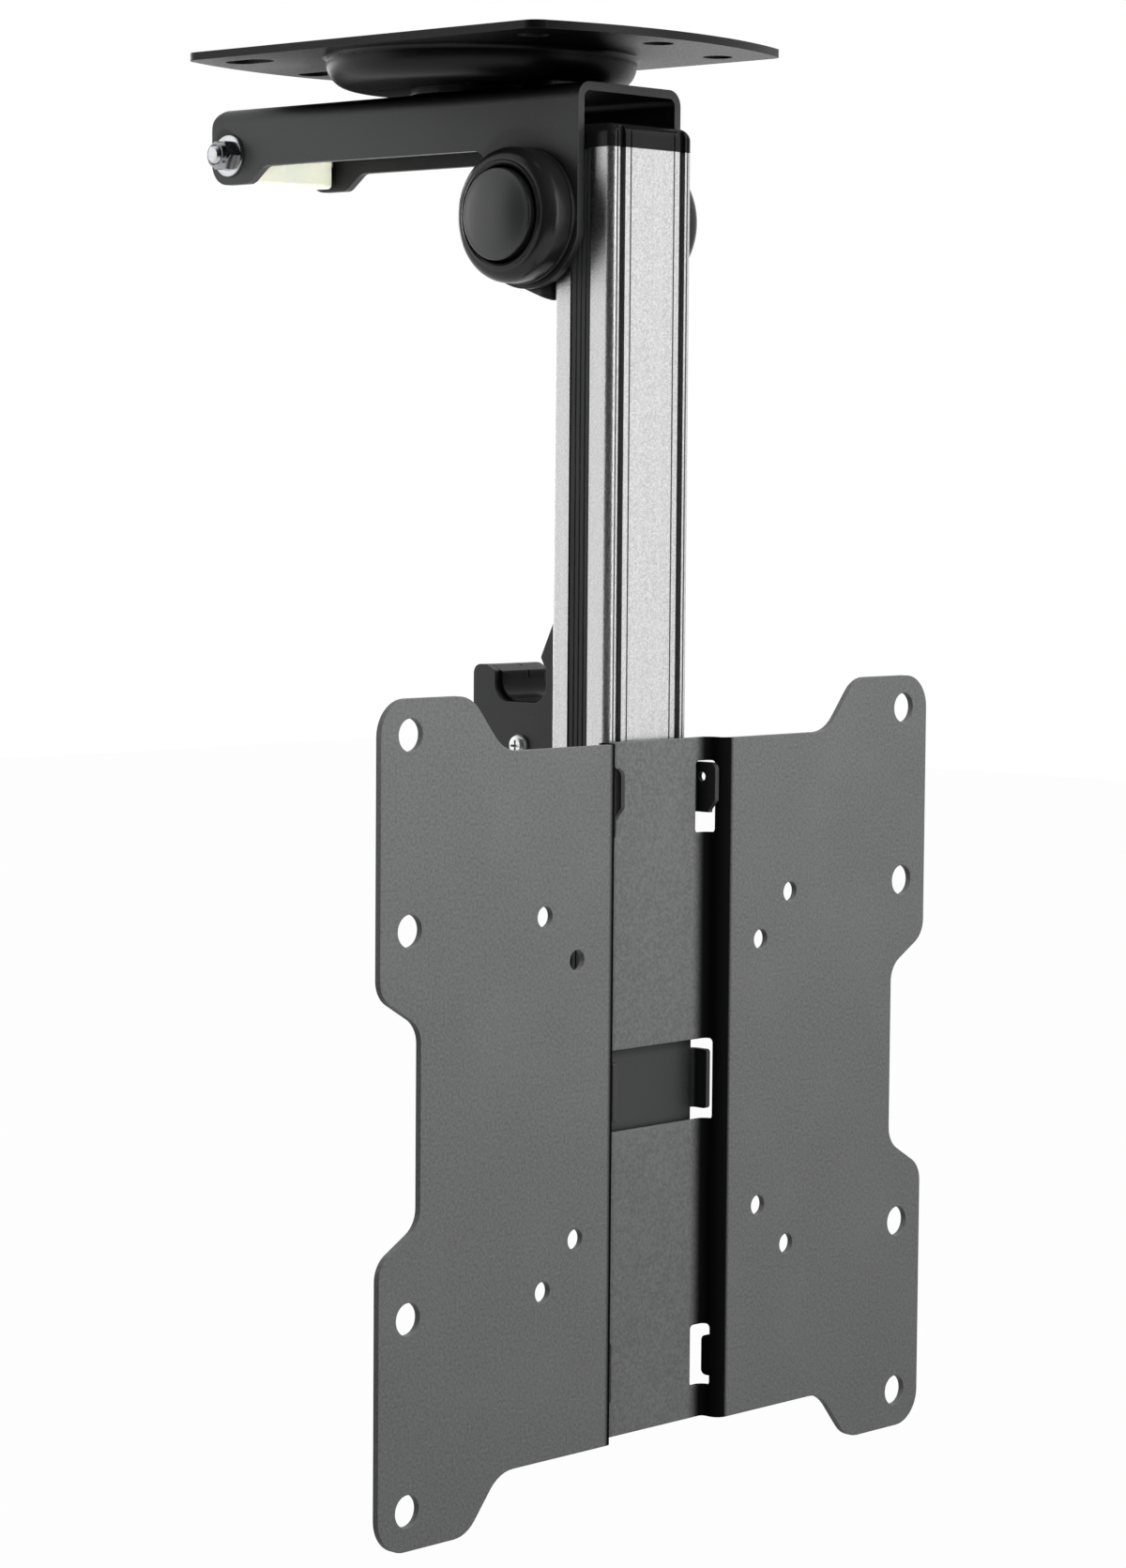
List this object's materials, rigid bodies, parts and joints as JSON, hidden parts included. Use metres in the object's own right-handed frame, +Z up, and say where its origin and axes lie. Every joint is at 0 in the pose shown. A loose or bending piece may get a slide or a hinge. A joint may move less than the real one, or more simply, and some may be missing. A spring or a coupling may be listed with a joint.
{
  "type": "folding tv mount",
  "caption": "Under-shelf television mount: swivelling arm on a ceiling plate, fold-up aluminium column with a latch, and a flat screen plate with VESA holes.",
  "frame": {"origin": "centre of the ceiling plate's top face, on the swivel axis", "axes": "+Z up along the swivel axis, -Y towards the screen, X along the fold hinge"},
  "size_m": [0.221, 0.1675, 0.3949],
  "materials": {
    "powder_coat": "satin black powder coat",
    "plate_coat": "fine textured dark grey powder coat",
    "anodised": "bead-blasted silver anodised",
    "black_plastic": "satin",
    "cream_plastic": "satin natural nylon",
    "zinc": "bright zinc plated",
    "steel": "plain steel"
  },
  "bodies": {
    "ceiling": {"ceiling_plate": "powder_coat"},
    "arm": {"arm_channel": "powder_coat", "swivel_bolt": "zinc", "swivel_upper_washer": "zinc", "swivel_friction_disc": "black_plastic", "swivel_lower_washer": "zinc", "swivel_nut": "zinc", "hinge_bolt": "zinc", "hinge_nut": "zinc", "hinge_washer_left": "zinc", "hinge_washer_right": "zinc", "hinge_cover_left": "black_plastic", "hinge_cover_right": "black_plastic", "hinge_button_left": "black_plastic", "hinge_button_right": "black_plastic", "catch_bolt": "zinc", "catch_nut": "zinc", "catch_washer_left": "zinc", "catch_washer_right": "zinc", "catch_block": "cream_plastic"},
    "column_body": {"column": "anodised", "column_top_cap": "black_plastic", "column_bottom_cap": "black_plastic", "slot_strip_left": "black_plastic", "slot_strip_right": "black_plastic", "hinge_bracket": "powder_coat", "hinge_bracket_screws": "zinc", "hinge_tube": "steel", "hinge_friction_washer_left": "black_plastic", "hinge_friction_washer_right": "black_plastic", "plate_carrier": "powder_coat", "carrier_screws": "zinc", "tv_plate": "plate_coat", "spring_seat": "powder_coat", "spring_seat_screws": "zinc", "spring_pin": "steel", "latch_spring": "steel", "latch_guide_screws": "zinc"},
    "latch": {"latch_bracket": "powder_coat", "latch_liner": "black_plastic", "latch_liner_screws": "zinc"}
  },
  "joints": [
    {"name": "swivel", "type": "hinge", "parent": "ceiling", "child": "arm", "pos_m": [0, 0, 0], "axis": [0, 0, 1], "continuous": true},
    {"name": "fold", "type": "hinge", "parent": "arm", "child": "column_body", "pos_m": [0, -0.0377, -0.0483], "axis": [1, 0, 0], "range_deg": [0, 95.1]},
    {"name": "latch_slide", "type": "slide", "parent": "column_body", "child": "latch", "axis": [0, 0, 1], "range_m": [-0.006, 0], "stiffness_N_per_m": 900, "springref_m": 0.006, "deforming": ["latch_spring"]}
  ]
}
